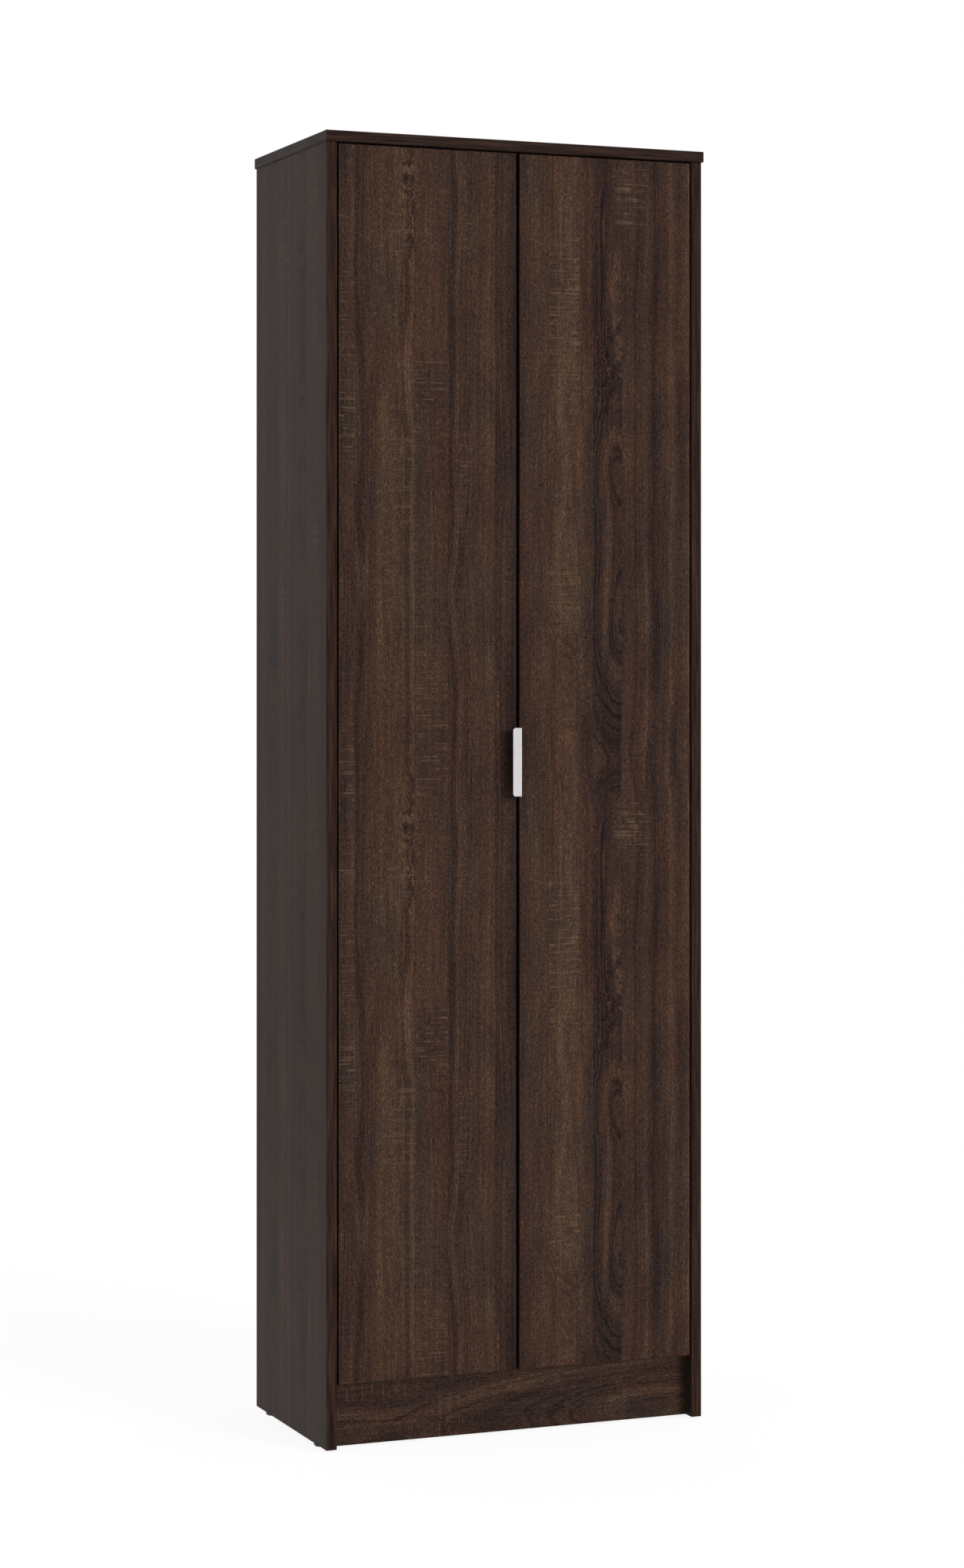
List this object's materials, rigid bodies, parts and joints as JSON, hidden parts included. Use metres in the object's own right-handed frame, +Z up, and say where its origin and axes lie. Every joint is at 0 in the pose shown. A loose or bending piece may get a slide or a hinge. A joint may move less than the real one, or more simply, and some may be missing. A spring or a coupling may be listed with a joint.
{
  "type": "shoe cabinet",
  "caption": "Tall narrow shoe cabinet in dark oak-effect board: inset doors on concealed hinges, shelves inside, recessed plinth and a metal edge pull at the centre gap.",
  "frame": {"origin": "on the floor, under the middle of the whole cabinet with its pull", "axes": "+Z up, the doors face -Y, +X to the right seen from the front"},
  "size_m": [0.6, 0.3414, 1.9],
  "materials": {
    "side_board": "melamine board, dark oak print, low contrast",
    "front_board": "melamine board, dark brown oak print in vertical strips",
    "edge_band": "dark oak print edge band",
    "hardboard": "thin white-faced fibreboard",
    "softwood": "bare wood",
    "pale_plastic": "extruded strip",
    "black_plastic": "moulded",
    "clear_rubber": "soft bumper",
    "grey_metal": "light grey satin",
    "nickel": "nickel-plated pressing",
    "steel": "bright steel",
    "zinc": "yellow zinc plated"
  },
  "bodies": {
    "case": {"left_side_panel": "side_board", "right_side_panel": "side_board", "top_panel": "front_board", "bottom_panel": "front_board", "plinth_board": "front_board", "plinth_blocks": "softwood", "plinth_screws": "zinc", "middle_shelf": "front_board", "shelf_1": "front_board", "shelf_2": "front_board", "shelf_3": "front_board", "shelf_4": "front_board", "shelf_5": "front_board", "shelf_6": "front_board", "shelf_pins": "steel", "back_panel_left": "hardboard", "back_panel_right": "hardboard", "back_joint_strip": "pale_plastic", "back_nails": "steel", "wood_dowels": "softwood", "cam_bolts": "zinc", "cam_locks": "zinc", "glides": "black_plastic", "top_edge_bands": "edge_band", "side_edge_bands": "edge_band", "shelf_edge_bands": "edge_band", "door_bumpers": "clear_rubber", "left_hinge_arms": "nickel", "left_hinge_arm_pins": "steel", "left_hinge_plates": "nickel", "left_hinge_plate_screws": "zinc", "left_hinge_arm_screws": "zinc", "right_hinge_arms": "nickel", "right_hinge_arm_pins": "steel", "right_hinge_plates": "nickel", "right_hinge_plate_screws": "zinc", "right_hinge_arm_screws": "zinc"},
    "left_door": {"left_door": "front_board", "left_door_edge_bands": "edge_band", "door_pull": "grey_metal", "door_pull_screws": "steel", "left_hinge_cups": "nickel", "left_hinge_cup_pins": "steel", "left_hinge_cup_screws": "zinc"},
    "right_door": {"right_door": "front_board", "right_door_edge_bands": "edge_band", "right_hinge_cups": "nickel", "right_hinge_cup_pins": "steel", "right_hinge_cup_screws": "zinc"},
    "left_outer_links": {"left_outer_links": "nickel"},
    "left_inner_links": {"left_inner_links": "nickel"},
    "right_outer_links": {"right_outer_links": "nickel"},
    "right_inner_links": {"right_inner_links": "nickel"}
  },
  "joints": [
    {"name": "left_outer_link_turn", "type": "hinge", "parent": "case", "child": "left_outer_links", "pos_m": [-0.24, -0.09815, 1], "axis": [0, 0, 1], "range_deg": [0, 35.16]},
    {"name": "left_door_swing", "type": "hinge", "parent": "left_outer_links", "child": "left_door", "pos_m": [-0.2695, -0.13525, 1], "axis": [0, 0, -1], "range_deg": [0, 130.15]},
    {"name": "left_inner_link_turn", "type": "hinge", "parent": "case", "child": "left_inner_links", "pos_m": [-0.2509, -0.13155, 1], "axis": [0, 0, 1], "range_deg": [0, 78.86]},
    {"name": "right_outer_link_turn", "type": "hinge", "parent": "case", "child": "right_outer_links", "pos_m": [0.24, -0.09815, 1], "axis": [0, 0, -1], "range_deg": [0, 35.16]},
    {"name": "right_door_swing", "type": "hinge", "parent": "right_outer_links", "child": "right_door", "pos_m": [0.2695, -0.13525, 1], "axis": [0, 0, 1], "range_deg": [0, 130.15]},
    {"name": "right_inner_link_turn", "type": "hinge", "parent": "case", "child": "right_inner_links", "pos_m": [0.2509, -0.13155, 1], "axis": [0, 0, -1], "range_deg": [0, 78.86]}
  ],
  "couplings": [
    {"joint": "left_outer_link_turn", "follows": "left_door_swing", "ratio": 0.27007},
    {"joint": "left_inner_link_turn", "follows": "left_door_swing", "ratio": 0.60584},
    {"joint": "right_outer_link_turn", "follows": "right_door_swing", "ratio": 0.27007},
    {"joint": "right_inner_link_turn", "follows": "right_door_swing", "ratio": 0.60584}
  ]
}
